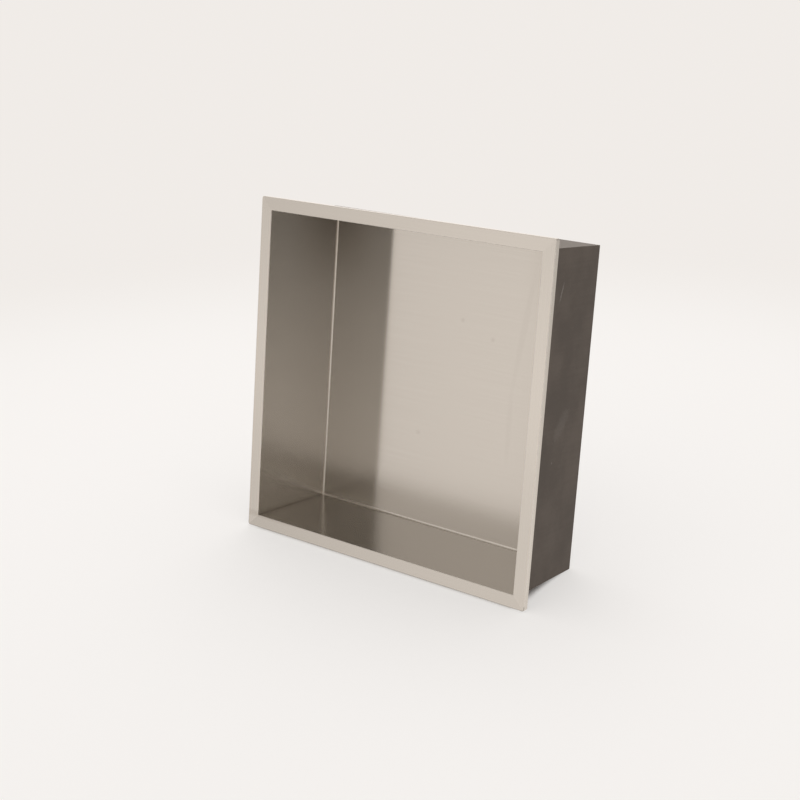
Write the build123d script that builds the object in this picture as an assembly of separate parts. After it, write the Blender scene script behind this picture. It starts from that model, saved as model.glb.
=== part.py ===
from build123d import *
import os
from math import atan, cos, tan

# Driving sizes in millimetres: a square shower niche, folded from one sheet and welded at its corners
flange_size = 305.0  # outside of the square flange, along each side
flange_width = 11.5  # face of the flange, from its outer edge to the opening
corner_radius = 2.0  # rounding of the flange's four outer corners
lip_depth = 5.0  # turned-back lip, from the flange's front face to its rim on the wall
niche_depth = 90.5  # inside depth, from the flange's front face to the back panel
wall_draw_in = 2.5  # how far each wall comes in between the opening and the back panel
sheet = 1.5  # thickness of the stainless steel
bend_radius = 1.5  # inside radius of the bends round the back panel
fold_radius = 0.5  # rounding of the flange's edges, at the lip and at the opening
coat = 0.6  # thickness of the matt coat sprayed on the outside of the box

# Frame: X to the right, Y into the wall, Z up, with the origin on the wall at the middle of the lip's rim
front = -lip_depth
flange_back = front + sheet
opening = flange_size - 2 * flange_width
wall_angle = atan(wall_draw_in / niche_depth)


# Square block whose four sides draw in towards the back at the wall's angle
# Its sides and back lie outside the niche's inner faces by the gap, measured square to them
def drawn_in_block(start, gap):
    end = front + niche_depth + gap
    near = opening + 2 * gap / cos(wall_angle) - 2 * (start - front) * tan(wall_angle)
    inset = (end - start) * tan(wall_angle)
    far = near - inset
    block = Wedge(near, end - start, near, inset, inset, far, far)
    return Pos(0, (start + end) / 2, 0) * block


# Same block with its back edges rounded by the bend, and sharp welded corners where the walls meet
def bent_block(start, gap):
    block = drawn_in_block(start, gap)
    back_face = block.faces().sort_by(Axis.Y)[-1]
    return fillet(back_face.edges(), bend_radius + gap)


# Flange: a flat square frame with a lip turned back round its outer edge
def flange_plate():
    face_plane = Plane((0, front, 0), x_dir=(1, 0, 0), z_dir=(0, 1, 0))
    outline = RectangleRounded(flange_size, flange_size, corner_radius)
    plate = extrude(face_plane * outline, amount=lip_depth)
    plate -= extrude(face_plane.offset(sheet) * offset(outline, -sheet), amount=lip_depth - sheet)
    face = plate.faces().sort_by(Axis.Y)[0]
    return fillet(face.edges(), fold_radius)


# Tray: flange, four walls and back panel in one piece of steel, round the space inside the niche
box_outside = bent_block(front, sheet)
niche_space = bent_block(front, 0)
niche_tray = flange_plate() + box_outside - niche_space
flange_face = niche_tray.faces().sort_by(Axis.Y)[0]
niche_tray = fillet(flange_face.inner_wires()[0].edges(), fold_radius)

# Coat: a thin skin on the outside of the walls and back, from the back of the flange
outer_coat = bent_block(flange_back, sheet + coat) - box_outside

os.makedirs("parts", exist_ok=True)
export_step(niche_tray, "parts/niche_tray.step")
export_step(outer_coat, "parts/outer_coat.step")
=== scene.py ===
import math
import bmesh
import bpy
import numpy as np
from mathutils import Matrix, Vector


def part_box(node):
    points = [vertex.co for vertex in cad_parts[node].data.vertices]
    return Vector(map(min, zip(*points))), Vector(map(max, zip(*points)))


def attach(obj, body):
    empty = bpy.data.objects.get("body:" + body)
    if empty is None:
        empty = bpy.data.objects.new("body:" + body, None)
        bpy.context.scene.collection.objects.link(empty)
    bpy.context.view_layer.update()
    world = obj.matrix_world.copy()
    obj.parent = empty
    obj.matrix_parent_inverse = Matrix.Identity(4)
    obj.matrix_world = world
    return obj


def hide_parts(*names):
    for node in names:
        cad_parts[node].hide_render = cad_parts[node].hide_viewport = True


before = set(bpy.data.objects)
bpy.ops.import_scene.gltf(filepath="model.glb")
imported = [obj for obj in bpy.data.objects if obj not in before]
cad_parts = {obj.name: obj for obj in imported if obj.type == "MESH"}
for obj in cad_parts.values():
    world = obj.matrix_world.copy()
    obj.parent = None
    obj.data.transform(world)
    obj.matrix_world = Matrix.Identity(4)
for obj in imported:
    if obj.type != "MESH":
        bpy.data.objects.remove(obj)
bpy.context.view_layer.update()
trayLow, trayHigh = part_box("niche_tray")
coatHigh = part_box("outer_coat")[1]
print("frame loaded:", ", ".join(sorted(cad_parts)))


# profile runs: rows of half width, depth into the wall and corner radius, in metres

# straight run: start + (end - start) * t, with a close row at each end so that the bend beside it stays crisp
def straightRun(start, end, steps, closeRow=0.00012, closeShare=0.3):
    start, end = np.array(start, float), np.array(end, float)
    close = min(closeShare / steps, closeRow / np.linalg.norm(end[:2] - start[:2]))
    t = np.concatenate([[0, close], np.linspace(0, 1, steps + 1)[1:-1], [1 - close, 1]])[:, None]
    return start + (end - start) * t


# round run: centre + radius * (cos a, sin a), with a corner radius of cornerStart + cornerGain * cos a
def roundRun(centre, radius, angles, steps, cornerStart=0.0, cornerGain=0.0):
    a = np.linspace(angles[0], angles[1], steps + 1)
    half, depth = centre[0] + radius * np.cos(a), centre[1] + radius * np.sin(a)
    return np.stack([half, depth, cornerStart + cornerGain * np.cos(a)], 1)


# unit square with round corners, as two arrays: a point is (half - corner) * along + corner * outward
# along runs round a square of half width 1, and outward turns a quarter at each of its corners
def squareLoop(sideSteps, cornerSteps):
    t = np.linspace(-1, 1, sideSteps + 1)
    turn = np.linspace(0, math.pi / 2, cornerSteps + 1)[1:-1]
    along = np.concatenate([np.stack([np.ones_like(t), t], 1), np.ones((len(turn), 2))])
    outward = np.concatenate([np.tile([1.0, 0.0], (len(t), 1)), np.stack([np.cos(turn), np.sin(turn)], 1)])
    quarters = [
        np.array([[math.cos(q), math.sin(q)], [-math.sin(q), math.cos(q)]]) for q in np.arange(4) * math.pi / 2]
    isCorner = np.arange(sideSteps + cornerSteps) >= sideSteps
    return dict(
        along=np.concatenate([along @ q for q in quarters]),
        outward=np.concatenate([outward @ q for q in quarters]),
        side=np.repeat(np.arange(4), sideSteps + cornerSteps),  # 0 right, 1 top, 2 left, 3 bottom
        isCorner=np.tile(isCorner, 4))


skinLimits = dict(
    weld=1e-6,  # points closer than this are one, which closes the poles and the sharp corners
    shortest=1e-7, sharpAngle=math.radians(35))


# profile carried round the square: rows of the profile by points of the loop, as one closed skin
# the grain map holds metres: first along the brushing, then across it
# on panel and walls the brushing runs along the one sheet they are folded from
# on the flange it runs along each strip
def carrySquare(name, profile, loop, isStrip, rounds=None, swell=None):
    half, depth, corner = profile.T
    flat = (half - corner)[:, None, None] * loop["along"] + corner[:, None, None] * loop["outward"]
    x, z = flat[..., 0], flat[..., 1]
    y = np.broadcast_to(depth[:, None], x.shape)
    if swell:
        z = z + swell(x, y, z)
    travel = np.concatenate([[0], np.cumsum(np.hypot(np.diff(half), np.diff(depth)))])
    across = np.broadcast_to(travel[:, None], x.shape)
    rows, count = x.shape
    index = np.arange(rows * count).reshape(rows, count)

    def quads(values):  # four corners of every face, in the order that points it outwards
        after = np.roll(values, -1, axis=1)
        return np.stack([values[:-1], values[1:], after[1:], after[:-1]], -1)

    side, isCorner = loop["side"][None, :, None], loop["isCorner"][None, :, None]
    isUpright = side % 2 == 0
    sign = np.where(side < 2, 1.0, -1.0)
    turned = np.broadcast_to(np.arctan2(loop["outward"][:, 1], loop["outward"][:, 0]) * corner.max(), x.shape)
    lengthwise = np.where(isUpright, quads(z), quads(x))
    stripU = np.where(isCorner, quads(turned), lengthwise)
    sheetU = np.where(isUpright, sign * quads(across), quads(x))
    sheetV = np.where(isUpright, quads(z), sign * quads(across))
    strip = isStrip[:-1, None, None] & isStrip[1:, None, None]
    u = np.where(strip, stripU, sheetU)
    v = np.where(strip, quads(across), sheetV)

    mesh = bpy.data.meshes.new(name)
    mesh.from_pydata(np.stack([x, y, z], -1).reshape(-1, 3), [], quads(index).reshape(-1, 4))
    grainMap = mesh.uv_layers.new(name="grain")
    grainMap.data.foreach_set("uv", np.stack([u, v], -1).ravel())
    for label, isRound in (rounds or {}).items():  # which rows are rounds of this kind
        mark = mesh.attributes.new(label, "FLOAT", "POINT")
        mark.data.foreach_set("value", np.repeat(isRound, count).astype(np.float32))
    skin = bmesh.new()
    skin.from_mesh(mesh)
    bmesh.ops.remove_doubles(skin, verts=skin.verts, dist=skinLimits["weld"])
    bmesh.ops.dissolve_degenerate(skin, edges=skin.edges, dist=skinLimits["shortest"])
    skin.to_mesh(mesh)
    skin.free()
    mesh.shade_smooth()
    mesh.set_sharp_from_angle(angle=skinLimits["sharpAngle"])
    piece = bpy.data.objects.new(name, mesh)
    bpy.context.scene.collection.objects.link(piece)
    print(name, len(mesh.polygons), "faces")
    return piece


# steel tray: back panel, walls, flange and lip of one folded sheet
tray = dict(
    flangeWidth=0.0115,  # face of the flange, from its outer edge to the opening
    cornerRadius=0.002,  # flange's four outer corners
    sheet=0.0015,  # steel thickness
    drawIn=0.0025,  # how far each wall comes in over the niche's depth
    bendRadius=0.0015,  # inside bend round the back panel
    foldRadius=0.0005,  # flange's edges, at the lip and at the opening
    panelSteps=12, wallSteps=16, stripSteps=6, rimSteps=2, bendSteps=10, sideSteps=28, cornerSteps=8)

rim = 0.0  # the lip's rim lies on the wall, at the frame's origin
front, steelBack, coatBack = trayLow.y, trayHigh.y, coatHigh.y
panelFace = steelBack - tray["sheet"]
flangeBack = front + tray["sheet"]
flangeHalf = trayHigh.x
openingHalf = flangeHalf - tray["flangeWidth"]
lean = math.atan2(tray["drawIn"], panelFace - front)
coatGap = coatBack - panelFace  # from the niche's inner faces to the outside of the coat


def wallHalf(depth, gap=0.0):  # half width of the box at a depth, this far outside its inner faces
    return openingHalf + gap / math.cos(lean) - (depth - front) * math.tan(lean)


def outsideRuns(gap, start, steps):  # back centre to front, round the outside of the box
    radius = tray["bendRadius"] + gap
    depth = panelFace + gap - radius
    centre = wallHalf(depth, gap) - radius / math.cos(lean), depth
    bendRun = roundRun(centre, radius, (math.pi / 2, lean), steps["bendSteps"])
    return [
        straightRun((0, panelFace + gap, 0), bendRun[0], steps["panelSteps"]), bendRun,
        straightRun(bendRun[-1], (wallHalf(start, gap), start, 0), steps["wallSteps"])]


def trayProfile():
    bend, fold, sheet = tray["bendRadius"], tray["foldRadius"], tray["sheet"]
    bendCentre = wallHalf(panelFace - bend) - bend / math.cos(lean), panelFace - bend
    foldCentre = wallHalf(front + fold) + fold / math.cos(lean), front + fold
    edgeCentre = flangeHalf - fold, front + fold
    edgeCorner = tray["cornerRadius"] - fold
    inner, innerCorner = flangeHalf - sheet, tray["cornerRadius"] - sheet
    bendRun = roundRun(bendCentre, bend, (math.pi / 2, lean), tray["bendSteps"])
    foldRun = roundRun(foldCentre, fold, (math.pi + lean, 1.5 * math.pi), tray["bendSteps"])
    edgeRun = roundRun(edgeCentre, fold, (1.5 * math.pi, 2 * math.pi), tray["bendSteps"], edgeCorner, fold)
    outerRim = flangeHalf, rim, tray["cornerRadius"]
    innerRim, innerRoot = (inner, rim, innerCorner), (inner, flangeBack, innerCorner)
    outside = outsideRuns(sheet, flangeBack, tray)
    runs = [  # each run, and whether it belongs to the flange's strips
        (straightRun((0, panelFace, 0), bendRun[0], tray["panelSteps"]), False),
        (bendRun, False),
        (straightRun(bendRun[-1], foldRun[0], tray["wallSteps"]), False),
        (foldRun, True),
        (straightRun(foldRun[-1], edgeRun[0], tray["stripSteps"]), True),
        (edgeRun, True),
        (straightRun(edgeRun[-1], outerRim, tray["stripSteps"]), True),
        (straightRun(outerRim, innerRim, tray["rimSteps"]), True),
        (straightRun(innerRim, innerRoot, tray["rimSteps"]), True),
        (straightRun(innerRoot, outside[2][-1], tray["stripSteps"]), True),
        (outside[2][::-1], False), (outside[1][::-1], False), (outside[0][::-1], False)]
    isStrip = np.concatenate([np.full(len(run), strip) for run, strip in runs])
    isFold = np.concatenate([np.full(len(run), run is foldRun or run is edgeRun) for run, strip in runs])
    isBend = np.concatenate([np.full(len(run), run is bendRun) for run, strip in runs])
    return np.concatenate([run for run, strip in runs]), isStrip, dict(fold=isFold, bend=isBend)


def buildTray():
    profile, isStrip, rounds = trayProfile()
    loop = squareLoop(tray["sideSteps"], tray["cornerSteps"])
    return carrySquare("steelTray", profile, loop, isStrip, rounds)


# matt coat: a thin skin on the outside of the walls and the back
coatSkin = dict(
    topSwell=(0.0010, 0.0),  # how much thicker it is along the rear of the top, at its left and right ends
    swellStart=0.7,  # share of the half height above which it thickens
    panelSteps=12, wallSteps=16, edgeSteps=1, bendSteps=10, sideSteps=28, cornerSteps=8)


def smooth(value, low, high):  # 3t^2 - 2t^3, with t from 0 at low to 1 at high
    t = np.clip((value - low) / (high - low), 0, 1)
    return t * t * (3 - 2 * t)


def buildCoat():
    inside = outsideRuns(tray["sheet"], flangeBack, coatSkin)
    outside = outsideRuns(coatGap, flangeBack, coatSkin)
    edge = straightRun(inside[2][-1], outside[2][-1], coatSkin["edgeSteps"])
    profile = np.concatenate(inside + [edge] + [run[::-1] for run in outside[::-1]])
    loop = squareLoop(coatSkin["sideSteps"], coatSkin["cornerSteps"])
    plain = np.zeros(len(profile), bool)
    innerRows = sum(len(run) for run in inside)

    def swell(x, y, z):  # thickness at the rear * smooth(depth) * smooth(height), on the outer rows only
        half = wallHalf(steelBack)
        thickness = np.interp(x, [-half, half], coatSkin["topSwell"])
        share = smooth(y, flangeBack, coatBack) * smooth(z, coatSkin["swellStart"] * half, half)
        return np.where(np.arange(len(x))[:, None] < innerRows, 0.0, thickness * share)

    return carrySquare("mattCoat", profile, loop, plain, swell=swell)


# node helpers: a socket is linked, anything else is set
def feed(tree, socket, value):
    if isinstance(value, bpy.types.NodeSocket):
        tree.links.new(value, socket)
    else:
        socket.default_value = value


def addNode(tree, kind, inputs=None, **settings):
    made = tree.nodes.new(kind)
    for name, value in settings.items():
        setattr(made, name, value)
    for name, value in (inputs or {}).items():
        feed(tree, made.inputs[name], value)
    return made


def calc(tree, operation, *values):
    made = addNode(tree, "ShaderNodeMath", operation=operation)
    for socket, value in zip(made.inputs, values):
        feed(tree, socket, value)
    return made.outputs[0]


def product(tree, first, *others):
    for other in others:
        first = calc(tree, "MULTIPLY", first, other)
    return first


def centred(tree, noise):  # noise from 0 to 1, moved to lie round 0
    return calc(tree, "SUBTRACT", noise, 0.5)


def calcVector(tree, operation, *values):
    made = addNode(tree, "ShaderNodeVectorMath", operation=operation)
    for socket, value in zip(made.inputs, values):
        feed(tree, socket, value)
    return made.outputs["Value" if operation in ("DOT_PRODUCT", "LENGTH") else "Vector"]


def scaled(tree, vector, amount):
    made = addNode(tree, "ShaderNodeVectorMath", dict(Scale=amount), operation="SCALE")
    feed(tree, made.inputs[0], vector)
    return made.outputs[0]


def axesOf(tree, vector):
    return addNode(tree, "ShaderNodeSeparateXYZ", dict(Vector=vector)).outputs


def lengthOf(tree, x, y):
    return calcVector(tree, "LENGTH", addNode(tree, "ShaderNodeCombineXYZ", dict(X=x, Y=y)).outputs[0])


def softStep(tree, value, low, high, start=0.0, end=1.0):
    made = addNode(tree, "ShaderNodeMapRange", interpolation_type="SMOOTHSTEP")
    for socket, given in zip(made.inputs, (value, low, high, start, end)):
        feed(tree, socket, given)
    return made.outputs[0]


def between(tree, mask, off, on):  # off where the mask is 0, on where it is 1
    return softStep(tree, mask, 0.0, 1.0, off, on)


def mixColour(tree, amount, first, second, how="MIX"):
    made = addNode(tree, "ShaderNodeMix", data_type="RGBA", blend_type=how)
    for socket, value in zip((made.inputs[0], made.inputs[6], made.inputs[7]), (amount, first, second)):
        feed(tree, socket, value)
    return made.outputs[2]


def newGroup(name, inputs, outputs):
    tree = bpy.data.node_groups.new(name, "ShaderNodeTree")
    for inOut, sockets in (("INPUT", inputs), ("OUTPUT", outputs)):
        for label, kind in sockets.items():
            tree.interface.new_socket(name=label, in_out=inOut, socket_type="NodeSocket" + kind)
    return tree, tree.nodes.new("NodeGroupInput").outputs, tree.nodes.new("NodeGroupOutput").inputs


def useGroup(tree, group, **inputs):
    made = addNode(tree, "ShaderNodeGroup", node_tree=group)
    for name, value in inputs.items():
        feed(tree, made.inputs[name], value)
    return made.outputs


# shared effects, as node groups
effects = dict(
    streakDetail=2.0, streakRoughness=0.55, patchDetail=3.0, patchRoughness=0.5,
    crumbScale=900.0, crumbDetail=2.0,  # the noise that breaks a mark's edge
    markCore=0.35, speckCore=0.4)  # share of the reach that is full


# brushing: long streaks, stretched along the first axis of the map
def makeBrushing():
    tree, given, out = newGroup(
        "brushing", dict(Vector="Vector", Length="Float", Width="Float"), dict(Streak="Float"))
    size = addNode(tree, "ShaderNodeCombineXYZ", dict(X=given["Length"], Y=given["Width"], Z=1.0)).outputs[0]
    settings = dict(Scale=1.0, Detail=effects["streakDetail"], Roughness=effects["streakRoughness"])
    spread = calcVector(tree, "DIVIDE", given["Vector"], size)
    streak = addNode(tree, "ShaderNodeTexNoise", dict(Vector=spread, **settings), noise_dimensions="2D")
    feed(tree, out["Streak"], streak.outputs[0])
    return tree


# unevenness: broad soft patches of a given size
def makeUnevenness():
    tree, given, out = newGroup("unevenness", dict(Vector="Vector", Size="Float"), dict(Patch="Float"))
    scale = calc(tree, "DIVIDE", 1.0, given["Size"])
    settings = dict(Scale=scale, Detail=effects["patchDetail"], Roughness=effects["patchRoughness"])
    patch = addNode(tree, "ShaderNodeTexNoise", dict(Vector=given["Vector"], **settings))
    feed(tree, out["Patch"], patch.outputs[0])
    return tree


# one mark: an ellipse round a place, turned, with a broken edge
def makeMark():
    tree, given, out = newGroup(
        "handlingMark", dict(Vector="Vector", Place="Vector", Reach="Vector", Turn="Vector", Ragged="Float"),
        dict(Mask="Float"))
    offset = calcVector(tree, "SUBTRACT", given["Vector"], given["Place"])
    turned = addNode(
        tree, "ShaderNodeVectorRotate", dict(Vector=offset, Rotation=given["Turn"]), rotation_type="EULER_XYZ")
    distance = calcVector(tree, "LENGTH", calcVector(tree, "DIVIDE", turned.outputs[0], given["Reach"]))
    settings = dict(Scale=effects["crumbScale"], Detail=effects["crumbDetail"])
    crumb = addNode(tree, "ShaderNodeTexNoise", dict(Vector=given["Vector"], **settings)).outputs[0]
    broken = calc(tree, "MULTIPLY_ADD", centred(tree, crumb), given["Ragged"], distance)
    feed(tree, out["Mask"], softStep(tree, broken, effects["markCore"], 1.0, 1.0, 0.0))
    return tree


# specks: a small dot in some of the cells of a scatter
def makeSpecks():
    tree, given, out = newGroup(
        "specks", dict(Vector="Vector", Spacing="Float", Size="Float", Share="Float"), dict(Mask="Float"))
    scale = calc(tree, "DIVIDE", 1.0, given["Spacing"])
    cells = addNode(tree, "ShaderNodeTexVoronoi", dict(Vector=given["Vector"], Scale=scale))
    reach = calc(tree, "DIVIDE", given["Size"], given["Spacing"])
    dot = softStep(tree, cells.outputs["Distance"], reach, product(tree, reach, effects["speckCore"]))
    pick = addNode(tree, "ShaderNodeSeparateColor", dict(Color=cells.outputs["Color"])).outputs[0]
    feed(tree, out["Mask"], product(tree, dot, calc(tree, "LESS_THAN", pick, given["Share"])))
    return tree


groups = dict(brushing=makeBrushing(), unevenness=makeUnevenness(), mark=makeMark(), specks=makeSpecks())
print("shared effects:", ", ".join(groups))


def newMaterial(name):
    material = bpy.data.materials.new(name)
    material.use_nodes = True
    tree = material.node_tree
    shader = tree.nodes["Principled BSDF"]
    return material, tree, shader, tree.nodes.new("ShaderNodeTexCoord").outputs


def addMark(tree, colour, markColour, share, **inputs):  # the colour, with one mark laid over it
    mask = useGroup(tree, groups["mark"], **inputs)["Mask"]
    return mixColour(tree, product(tree, mask, share), colour, markColour)


# brushed stainless: colour, grain, weld lines in the four corners of the box, painted shade by the upright
# bends and by the floor's left corner, and marks
steel = dict(
    colour=(0.562, 0.537, 0.499, 1), streakColour=(0.555, 0.530, 0.492, 1), seamColour=(0.32, 0.30, 0.275, 1),
    spotColour=(0.530, 0.505, 0.468, 1), wipeColour=(0.525, 0.50, 0.463, 1), paintedShadeColour=(0.40, 0.366, 0.323, 1),
    roughness=0.15, wallRoughness=0.12, bendRoughness=0.30, foldRoughness=0.42, roughnessSpread=0.006,
    anisotropy=1.0, grainTurn=0.25,
    streakLength=0.12, streakWidth=0.0012, streakLimits=(0.3, 0.7), patchSize=0.09,
    seamWidth=0.0009, seamCore=0.4,  # core is the share of the width that is fully dark
    bendShadeReach=0.075, bendShadeStart=0.05, bendShadeShare=(0.165, 0.785),  # painted shade beside the upright bends, more at the top
    floorShadePlace=(-0.132, 0.030, -0.1400), floorShadeReach=(0.062, 0.085, 0.005), floorShadeShare=0.4,  # painted shade on the floor by its left corner
    spots=[(0.0101, 0.0572), (0.0433, 0.0447), (-0.0303, -0.0537)],  # on the back panel, X and Z
    spotReach=0.003,
    wipes=[  # faint marks on the back panel: X, Z, reach along X, reach along Z, turn in degrees, share
        (0.0746, 0.061, 0.0045, 0.075, -7.5, 0.45), (0.0668, -0.030, 0.004, 0.045, 0.5, 0.35)],
    wipeDepth=0.004, ragged=0.3,
    # painted light: flange lighter, bottom strip and floor darker as painted shade, folds and bends lighter as
    # painted highlights
    flangePaintedLight=(1.075, 1.05), bottomPaintedShade=0.91, foldPaintedHighlight=1.25, bendPaintedHighlight=1.28, floorPaintedShade=0.97, underShade=0.5,
    flangeEdge=(0.003, 0.001),  # depths behind the front between which the flange's painted light comes in
    wallEdge=(0.0005, 0.0015),  # and the walls' own roughness
    floorEdge=(0.006, 0.004),  # heights over the opening's lower edge between which the floor's painted shade comes in
    mitreWidth=0.0004,
    underStart=0.004, underEnd=0.0008, underLimits=(0.2, 0.8))  # shade under the flange's lower edge


def steelColour(tree, where, place, streak, isWall):
    colour = mixColour(tree, streak, steel["colour"], steel["streakColour"])
    sideways, upward = calc(tree, "ABSOLUTE", place["X"]), calc(tree, "ABSOLUTE", place["Z"])

    # weld line: close to the corner where two walls meet
    fromCorner = calc(tree, "ABSOLUTE", calc(tree, "SUBTRACT", sideways, upward))
    seam = softStep(tree, fromCorner, steel["seamWidth"], steel["seamWidth"] * steel["seamCore"])
    colour = mixColour(tree, product(tree, seam, isWall), colour, steel["seamColour"])

    # painted shade: fades with the distance from the upright bends, length of (bend - |x|, panel - y)
    fromWall = calc(tree, "SUBTRACT", wallHalf(panelFace), sideways)
    fromBend = lengthOf(tree, fromWall, calc(tree, "SUBTRACT", panelFace, place["Y"]))
    bendShadeShare = softStep(tree, place["Z"], steel["bendShadeStart"], openingHalf, *steel["bendShadeShare"])
    tint = product(tree, softStep(tree, fromBend, steel["bendShadeReach"], 0.0), bendShadeShare)
    colour = mixColour(tree, tint, colour, steel["paintedShadeColour"])
    shared = dict(Vector=where, Ragged=steel["ragged"])
    # painted shade on the floor by its left corner, in the same colour as the shade by the bends
    colour = addMark(
        tree, colour, steel["paintedShadeColour"], steel["floorShadeShare"],
        Place=steel["floorShadePlace"], Reach=steel["floorShadeReach"], **shared)

    for x, z in steel["spots"]:
        colour = addMark(
            tree, colour, steel["spotColour"], 1.0,
            Place=(x, panelFace, z), Reach=(steel["spotReach"],) * 3, **shared)
    for x, z, reachX, reachZ, turn, share in steel["wipes"]:
        colour = addMark(
            tree, colour, steel["wipeColour"], share, Place=(x, panelFace, z),
            Reach=(reachX, steel["wipeDepth"], reachZ), Turn=(0, math.radians(turn), 0), **shared)
    return colour


# painted light in the steel's colour: the flange a little lighter, but for its bottom strip, painted highlights
# on the rounds, painted shade on the floor and on the edge below the flange
def steelPaintedLight(tree, place, fold, bend, isWall):
    pastMitre = calc(
        tree, "SUBTRACT", product(tree, place["Z"], -1.0), calc(tree, "ABSOLUTE", place["X"]))
    flangePaintedLight = product(
        tree, softStep(tree, place["Z"], -flangeHalf, flangeHalf, *steel["flangePaintedLight"]),
        softStep(tree, pastMitre, 0.0, steel["mitreWidth"], 1.0, steel["bottomPaintedShade"]))
    flangeEdge = [front + depth for depth in steel["flangeEdge"]]
    floorEdge = [height - openingHalf for height in steel["floorEdge"]]
    under = product(tree, fold, softStep(
        tree, place["Z"], -openingHalf - steel["underStart"], -flangeHalf + steel["underEnd"]))
    onFloor = product(tree, isWall, softStep(tree, place["Z"], *floorEdge))
    return product(
        tree, softStep(tree, place["Y"], *flangeEdge, 1.0, flangePaintedLight),
        between(tree, fold, 1.0, steel["foldPaintedHighlight"]), between(tree, bend, 1.0, steel["bendPaintedHighlight"]),
        softStep(tree, under, *steel["underLimits"], 1.0, steel["underShade"]),
        between(tree, onFloor, 1.0, steel["floorPaintedShade"]))


def steelRoughness(tree, where, place, streak, fold, bend):
    patch = useGroup(tree, groups["unevenness"], Vector=where, Size=steel["patchSize"])["Patch"]
    wander = calc(tree, "ADD", centred(tree, streak), centred(tree, patch))
    onWall = product(
        tree, softStep(tree, place["Y"], *[front + depth for depth in steel["wallEdge"]]),
        softStep(tree, place["Y"], panelFace, panelFace - tray["bendRadius"]))
    evenRoughness = between(tree, onWall, steel["roughness"], steel["wallRoughness"])
    roughness = calc(tree, "MULTIPLY_ADD", wander, steel["roughnessSpread"], evenRoughness)
    roughness = between(tree, bend, roughness, steel["bendRoughness"])
    return between(tree, fold, roughness, steel["foldRoughness"])


def makeSteel():
    material, tree, shader, coords = newMaterial("brushedStainless")
    where = coords["Object"]
    place = axesOf(tree, where)
    grain = addNode(tree, "ShaderNodeUVMap", uv_map="grain").outputs[0]
    brushing = useGroup(
        tree, groups["brushing"], Vector=grain, Length=steel["streakLength"], Width=steel["streakWidth"])
    streak = softStep(tree, brushing["Streak"], *steel["streakLimits"])
    fold = addNode(tree, "ShaderNodeAttribute", attribute_name="fold").outputs["Fac"]
    bend = addNode(tree, "ShaderNodeAttribute", attribute_name="bend").outputs["Fac"]
    isWall = product(  # between the flange's fold and the back bend
        tree, calc(tree, "GREATER_THAN", place["Y"], front + tray["foldRadius"]),
        calc(tree, "LESS_THAN", place["Y"], panelFace - tray["bendRadius"]))
    colour = steelColour(tree, where, place, streak, isWall)
    settings = {
        "Base Color": scaled(tree, colour, steelPaintedLight(tree, place, fold, bend, isWall)),
        "Roughness": steelRoughness(tree, where, place, streak, fold, bend),
        "Tangent": addNode(tree, "ShaderNodeTangent", direction_type="UV_MAP", uv_map="grain").outputs[0],
        "Metallic": 1.0, "Anisotropic": steel["anisotropy"], "Anisotropic Rotation": steel["grainTurn"]}
    for name, value in settings.items():
        feed(tree, shader.inputs[name], value)
    return material


# matt coat: dark warm grey, mottled, with scuffs on the right-hand wall and a painted sheen, lighter, on what
# faces up
coat = dict(
    colour=(0.065, 0.0525, 0.0428, 1), paleColour=(0.090, 0.0735, 0.0605, 1),
    scuffColour=(0.22, 0.205, 0.19, 1),
    topSheenColour=(0.19, 0.172, 0.156, 1), topSheenShare=0.68, topSheenLimits=(0.5, 0.95),  # painted sheen, by how far it faces up
    roughness=0.62, roughnessSpread=0.16, specular=0.35,
    patchSize=0.03, grainSize=0.0016, grainDepth=0.00004, speckle=0.5,
    streakLength=0.09, streakWidth=0.0025, streakShare=0.15, toneLimits=(0.3, 0.75),
    scuffs=[  # depth, height, reach along depth, reach along height, turn in degrees, strength
        (0.0278, 0.1064, 0.0012, 0.0105, 17, 0.55), (0.0460, -0.0060, 0.008, 0.020, 38, 0.13),
        (0.0360, -0.0363, 0.0012, 0.0012, 0, 0.35)],
    scuffReach=0.004, ragged=1.4,
    speckSpacing=0.016, speckSize=0.0009, speckShare=0.3, speckStrength=0.3)


def coatColour(tree, where, facing, pebble):
    patch = useGroup(tree, groups["unevenness"], Vector=where, Size=coat["patchSize"])["Patch"]
    grain = addNode(tree, "ShaderNodeUVMap", uv_map="grain").outputs[0]
    brushing = useGroup(
        tree, groups["brushing"], Vector=grain, Length=coat["streakLength"], Width=coat["streakWidth"])
    tone = calc(tree, "MULTIPLY_ADD", centred(tree, brushing["Streak"]), coat["streakShare"], patch)
    tone = calc(tree, "MULTIPLY_ADD", centred(tree, pebble), coat["speckle"], tone)
    colour = mixColour(tree, softStep(tree, tone, *coat["toneLimits"]), coat["colour"], coat["paleColour"])
    # painted sheen: lighter where the coat faces up
    topSheen = product(tree, softStep(tree, axesOf(tree, facing)["Z"], *coat["topSheenLimits"]), coat["topSheenShare"])
    colour = mixColour(tree, topSheen, colour, coat["topSheenColour"])
    for depth, height, reachDepth, reachHeight, turn, strength in coat["scuffs"]:
        colour = addMark(
            tree, colour, coat["scuffColour"], strength, Vector=where,
            Place=(wallHalf(depth, coatGap), depth, height),
            Reach=(coat["scuffReach"], reachDepth, reachHeight),
            Turn=(math.radians(turn), 0, 0), Ragged=coat["ragged"])
    specks = useGroup(
        tree, groups["specks"], Vector=where, Spacing=coat["speckSpacing"], Size=coat["speckSize"],
        Share=coat["speckShare"])["Mask"]
    return mixColour(tree, product(tree, specks, coat["speckStrength"]), colour, coat["scuffColour"])


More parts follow.
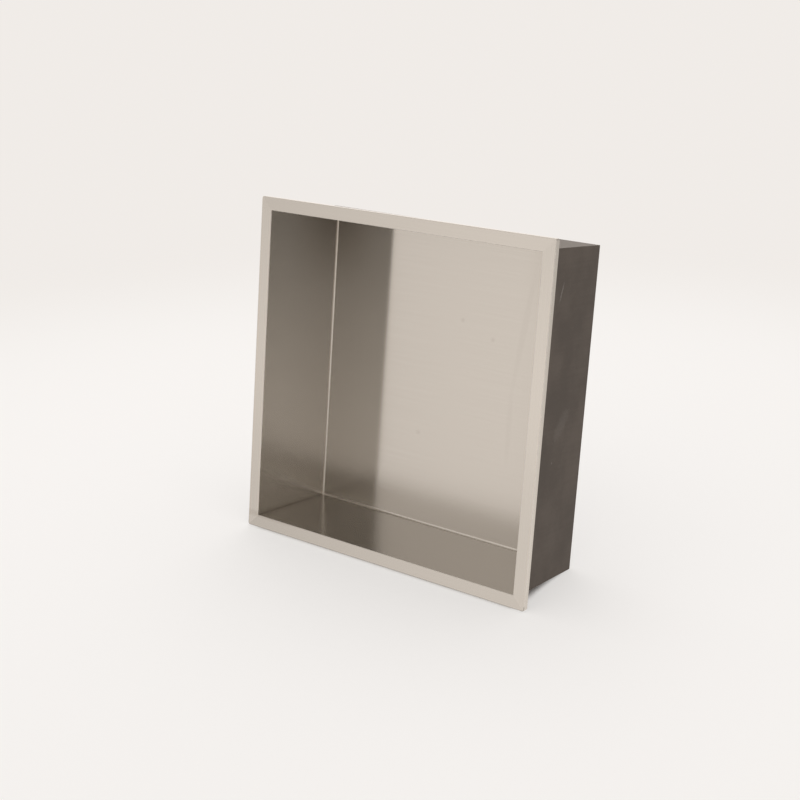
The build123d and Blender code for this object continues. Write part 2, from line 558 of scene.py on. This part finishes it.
def makeCoat():
    material, tree, shader, coords = newMaterial("mattCoat")
    where = coords["Object"]
    pebble = useGroup(tree, groups["unevenness"], Vector=where, Size=coat["grainSize"])["Patch"]
    bump = addNode(tree, "ShaderNodeBump", dict(Height=pebble, Distance=coat["grainDepth"], Strength=1.0))
    settings = {
        "Base Color": coatColour(tree, where, coords["Normal"], pebble),
        "Roughness": calc(
            tree, "MULTIPLY_ADD", centred(tree, pebble), coat["roughnessSpread"], coat["roughness"]),
        "Normal": bump.outputs[0], "Specular IOR Level": coat["specular"]}
    for name, value in settings.items():
        feed(tree, shader.inputs[name], value)
    return material


steelTray = buildTray()
steelTray.data.materials.append(makeSteel())
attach(steelTray, "root")
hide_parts("niche_tray")

mattCoat = buildCoat()
mattCoat.data.materials.append(makeCoat())
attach(mattCoat, "root")
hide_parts("outer_coat")
print("pieces in place")


# table: the niche leans back on its lip and on the round rear edge of its coat
table = dict(
    colour=(0.843, 0.853, 0.867, 1), roughness=0.9, specular=0.1, reach=40.0, steps=8,
    backdrop=(0.875, 0.838, 0.805, 1),  # what the camera sees past the table
    glow=(1.0, 0.985, 0.965, 1), glowShare=0.50,  # share of even white that the camera sees in the table, painted light that lightens the table's shadow round the niche
    glowEnd=0.009,  # distance from the niche over which that painted light comes in
    touchInset=(0.0055, 0.011),  # how much nearer it comes at the front and at the back, lightening the shadow beside the lip
    fadeStart=0.3, fadeEnd=1.2)


def tableTilt():  # angle of the line from the rim's lower edge that touches the coat's rear round
    radius = tray["bendRadius"] + coatGap
    depth = coatBack - radius
    height = flangeHalf - (wallHalf(depth, coatGap) - radius / math.cos(lean))
    return math.atan2(height, depth - rim) - math.asin(radius / math.hypot(height, depth - rim))


tilt = tableTilt()
tableUp = Vector((0, -math.sin(tilt), math.cos(tilt)))


# distance outside the niche's footprint
# length of max(|x| - half + inset, 0) and max(|y - middle| - middle, 0)
def fromFootprint(tree, place):
    half, middle = wallHalf(rim, coatGap), coatBack / 2
    inset = softStep(tree, place["Y"], rim, coatBack, *table["touchInset"])
    sideways = calc(tree, "ADD", calc(tree, "SUBTRACT", calc(tree, "ABSOLUTE", place["X"]), half), inset)
    fromMiddle = calc(tree, "ABSOLUTE", calc(tree, "SUBTRACT", place["Y"], middle))
    lengthwise = calc(tree, "SUBTRACT", fromMiddle, middle)
    return lengthOf(tree, calc(tree, "MAXIMUM", sideways, 0.0), calc(tree, "MAXIMUM", lengthwise, 0.0))


def makeTable():
    material, tree, shader, coords = newMaterial("paleTable")
    settings = {
        "Base Color": table["colour"], "Roughness": table["roughness"], "Specular IOR Level": table["specular"]}
    for name, value in settings.items():
        feed(tree, shader.inputs[name], value)
    where = coords["Object"]
    far = softStep(tree, calcVector(tree, "LENGTH", where), table["fadeStart"], table["fadeEnd"])
    outside = fromFootprint(tree, axesOf(tree, where))
    # painted light: the camera sees the table's shadow lightened from this distance outward
    near = softStep(tree, outside, 0.0, table["glowEnd"], 0.0, table["glowShare"])
    seen = addNode(tree, "ShaderNodeLightPath").outputs["Is Camera Ray"]
    share = product(tree, between(tree, far, near, 1.0), seen)
    glowColour = mixColour(tree, far, table["glow"], table["backdrop"])
    glow = addNode(tree, "ShaderNodeEmission", dict(Color=glowColour))
    mixed = addNode(tree, "ShaderNodeMixShader")
    for socket, value in zip(mixed.inputs, (share, shader.outputs[0], glow.outputs[0])):
        feed(tree, socket, value)
    feed(tree, tree.nodes["Material Output"].inputs["Surface"], mixed.outputs[0])
    return material


def buildTable():  # flat grid, raised by depth * tan(tilt)
    line = np.linspace(-table["reach"], table["reach"], table["steps"] + 1)
    x, y = np.meshgrid(line, line)
    z = -flangeHalf + (y - rim) * math.tan(tilt)
    index = np.arange(x.size).reshape(x.shape)
    faces = np.stack([index[:-1, :-1], index[:-1, 1:], index[1:, 1:], index[1:, :-1]], -1).reshape(-1, 4)
    mesh = bpy.data.meshes.new("table")
    mesh.from_pydata(np.stack([x, y, z], -1).reshape(-1, 3), [], faces)
    mesh.materials.append(makeTable())
    floor = bpy.data.objects.new("table", mesh)
    bpy.context.scene.collection.objects.link(floor)
    floor.visible_glossy = False  # the steel mirrors the room below, which has the table's tone


# room: even soft light from all round, with a dim stretch on the side the picture is taken from
# each list gives light by height above the table, as the sine of the angle
# the dim stretch is dark at the table's level, with a soft bright band below it and one above it
room = dict(
    tint=(1.095, 1.025, 0.968), most=1.6,  # levels are shares of the most
    light=[
        (-1.0, 0.95), (-0.4, 0.98), (-0.2, 0.93), (-0.1, 1.06),
        (0.05, 0.94), (0.26, 0.99), (0.4, 0.84), (1.0, 0.87)],
    dimLeft=[
        (-1.0, 0.6), (-0.36, 0.53), (-0.12, 1.12), (0.03, 0.01),
        (0.14, 0.0), (0.31, 1.18), (0.55, 0.15), (1.0, 0.6)],
    dimRight=[
        (-1.0, 0.6), (-0.36, 0.62), (-0.15, 1.21), (0.0, 0.0),
        (0.13, 0.0), (0.31, 1.35), (0.54, 0.05), (1.0, 0.6)],
    back=[(-1.0, 1.0), (-0.45, 0.97), (-0.20, 0.70), (0.0, 0.62), (1.0, 0.86)],
    backTurn=math.radians(140), backHalf=math.radians(20), backSoft=math.radians(20),
    dimTurn=math.radians(36.4), dimHalf=math.radians(9), dimSoft=math.radians(6), dimSplit=math.radians(1.5),
    leftTurn=math.radians(-32), leftSoft=math.radians(13), leftShare=0.82,  # light falls off to the left
    leftEnd=math.radians(-105), leftEndSoft=math.radians(20), leftBack=1.2)  # and comes back behind


def lightByHeight(tree, height, stops):  # a ramp from 0 to 1 stands for heights from -1 to 1
    ramp = addNode(tree, "ShaderNodeValToRGB", dict(Fac=calc(tree, "MULTIPLY_ADD", height, 0.5, 0.5)))
    ramp.color_ramp.interpolation = "EASE"
    marks = ramp.color_ramp.elements
    while len(marks) < len(stops):
        marks.new(0.5)
    for mark, (at, level) in zip(marks, stops):
        mark.position, mark.color = at * 0.5 + 0.5, (level / room["most"],) * 3 + (1,)
    return ramp.outputs["Color"]


def buildRoom():
    world = bpy.data.worlds.new("room")
    bpy.context.scene.world = world
    world.use_nodes = True
    tree = world.node_tree
    tree.nodes.clear()
    direction = tree.nodes.new("ShaderNodeTexCoord").outputs["Generated"]
    axes = axesOf(tree, direction)
    turn = calc(tree, "ARCTAN2", axes["X"], product(tree, axes["Y"], -1.0))
    height = calcVector(tree, "DOT_PRODUCT", direction, tableUp)
    offside = calc(tree, "SUBTRACT", turn, room["dimTurn"])
    away = calc(tree, "ABSOLUTE", offside)
    column = softStep(tree, away, room["dimHalf"] + room["dimSoft"], room["dimHalf"])
    dim = mixColour(
        tree, softStep(tree, offside, -room["dimSplit"], room["dimSplit"]),
        lightByHeight(tree, height, room["dimLeft"]), lightByHeight(tree, height, room["dimRight"]))
    level = mixColour(tree, column, lightByHeight(tree, height, room["light"]), dim)
    behind = calc(tree, "ABSOLUTE", calc(tree, "SUBTRACT", turn, room["backTurn"]))
    behind = softStep(tree, behind, room["backHalf"] + room["backSoft"], room["backHalf"])
    level = mixColour(tree, behind, level, lightByHeight(tree, height, room["back"]))
    fall = softStep(tree, turn, room["leftTurn"] - room["leftSoft"], room["leftTurn"], room["leftShare"], 1.0)
    fall = softStep(tree, turn, room["leftEnd"], room["leftEnd"] - room["leftEndSoft"], fall, room["leftBack"])
    warm = scaled(tree, [room["most"] * t for t in room["tint"]], fall)
    light = mixColour(tree, 1.0, level, warm, "MULTIPLY")
    seen = addNode(tree, "ShaderNodeLightPath").outputs["Is Camera Ray"]
    colour = mixColour(tree, seen, light, table["backdrop"])
    background = addNode(tree, "ShaderNodeBackground", dict(Color=colour, Strength=1.0))
    feed(tree, tree.nodes.new("ShaderNodeOutputWorld").inputs["Surface"], background.outputs[0])


# lamp: one big soft panel, high on the left
lamp = dict(place=(-0.5, 0.3, 1.6), aim=(0, 0.04, -0.05), size=1.0, power=6.0, colour=(1.0, 0.985, 0.96))


def turnTowards(place, aim, up):
    back = (Vector(place) - Vector(aim)).normalized()
    right = Vector(up).cross(back).normalized()
    turn = Matrix((right, back.cross(right), back)).transposed().to_4x4()
    return Matrix.Translation(place) @ turn


def buildLamp():
    light = bpy.data.lights.new("softPanel", "AREA")
    light.energy, light.size, light.color = lamp["power"], lamp["size"], lamp["colour"]
    panel = bpy.data.objects.new("softPanel", light)
    bpy.context.scene.collection.objects.link(panel)
    panel.matrix_world = turnTowards(lamp["place"], lamp["aim"], (0, 0, 1))
    panel.visible_glossy = False


# camera: from the right and a little above, as the picture was taken
picture = dict(
    place=(0.7396, -0.9896, 0.2844), aim=(0.0172, -0.0100, -0.0002), upLean=math.radians(6.06),
    lens=66.89, sensor=36.0)


def buildCamera():
    view = bpy.data.cameras.new("pictureCamera")
    view.lens, view.sensor_width = picture["lens"], picture["sensor"]
    camera = bpy.data.objects.new("pictureCamera", view)
    bpy.context.scene.collection.objects.link(camera)
    up = (0, -math.sin(picture["upLean"]), math.cos(picture["upLean"]))
    camera.matrix_world = turnTowards(picture["place"], picture["aim"], up)
    bpy.context.scene.camera = camera


buildTable()
buildRoom()
buildLamp()
buildCamera()
bpy.context.scene.view_settings.view_transform = "Standard"
print("table, room, lamp and camera set, table tilt", round(math.degrees(tilt), 2))
